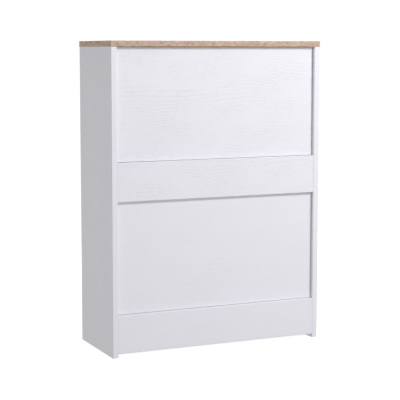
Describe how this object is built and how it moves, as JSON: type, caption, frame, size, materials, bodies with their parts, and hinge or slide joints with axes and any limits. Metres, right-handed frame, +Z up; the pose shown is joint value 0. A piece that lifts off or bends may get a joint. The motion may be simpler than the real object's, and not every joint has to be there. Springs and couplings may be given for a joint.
{
  "type": "shoe cabinet",
  "caption": "Slim free-standing shoe cabinet with tip-out bins behind inset flaps, fixed front rails and a flat wood top.",
  "frame": {"origin": "middle of the footprint, at floor level", "axes": "+Z up, -Y the front with the flaps, +X to the right seen from the front"},
  "size_m": [0.6, 0.24, 0.81],
  "materials": {
    "oak_laminate": "satin",
    "white_laminate": "satin",
    "white_inner_board": "satin",
    "white_hardboard": "matt",
    "grey_plastic": "matt",
    "latch_plastic": "matt",
    "latch_plunger_plastic": "matt",
    "white_plastic": "matt",
    "nylon": "matt",
    "steel": "brushed",
    "zinc": "cast",
    "beech": "matt"
  },
  "bodies": {
    "carcass": {"top_panel": "oak_laminate", "left_side_panel": "white_laminate", "right_side_panel": "white_laminate", "mid_rail": "white_laminate", "bottom_rail": "white_laminate", "mid_shelf": "white_inner_board", "bottom_panel": "white_inner_board", "hanging_rail": "white_inner_board", "upper_back_panel": "white_hardboard", "lower_back_panel": "white_hardboard", "back_panel_joiner": "white_plastic", "cam_locks": "zinc", "cam_bolts": "steel", "carcass_dowels": "beech", "back_panel_screws": "steel", "pivot_bushes": "nylon", "stop_pegs": "steel", "upper_latch_housing": "latch_plastic", "lower_latch_housing": "latch_plastic", "upper_latch_spring": "steel", "lower_latch_spring": "steel", "latch_screws": "steel"},
    "upper_flap": {"upper_flap_panel": "white_laminate", "upper_bin_left_bracket": "grey_plastic", "upper_bin_right_bracket": "grey_plastic", "upper_bin_floor": "white_hardboard", "upper_bin_front_board": "white_hardboard", "upper_bin_back_board": "white_hardboard", "upper_bin_divider": "white_hardboard", "upper_pivot_pins": "steel", "upper_bracket_screws": "steel", "upper_strike_plate": "steel", "upper_strike_screws": "steel"},
    "lower_flap": {"lower_flap_panel": "white_laminate", "lower_bin_left_bracket": "grey_plastic", "lower_bin_right_bracket": "grey_plastic", "lower_bin_floor": "white_hardboard", "lower_bin_front_board": "white_hardboard", "lower_bin_back_board": "white_hardboard", "lower_bin_divider": "white_hardboard", "lower_pivot_pins": "steel", "lower_bracket_screws": "steel", "lower_strike_plate": "steel", "lower_strike_screws": "steel"},
    "upper_latch_plunger": {"upper_latch_plunger": "latch_plunger_plastic"},
    "lower_latch_plunger": {"lower_latch_plunger": "latch_plunger_plastic"}
  },
  "joints": [
    {"name": "upper_flap_hinge", "type": "hinge", "parent": "carcass", "child": "upper_flap", "pos_m": [0, -0.1015, 0.54837], "axis": [1, 0, 0], "range_deg": [0, 45]},
    {"name": "lower_flap_hinge", "type": "hinge", "parent": "carcass", "child": "lower_flap", "pos_m": [0, -0.1015, 0.15587], "axis": [1, 0, 0], "range_deg": [0, 45]},
    {"name": "upper_latch_slide", "type": "slide", "parent": "carcass", "child": "upper_latch_plunger", "axis": [0, 1, 0], "range_m": [0, 0.003], "stiffness_N_per_m": 400, "springref_m": -0.004, "deforming": ["upper_latch_spring"]},
    {"name": "lower_latch_slide", "type": "slide", "parent": "carcass", "child": "lower_latch_plunger", "axis": [0, 1, 0], "range_m": [0, 0.003], "stiffness_N_per_m": 400, "springref_m": -0.004, "deforming": ["lower_latch_spring"]}
  ]
}
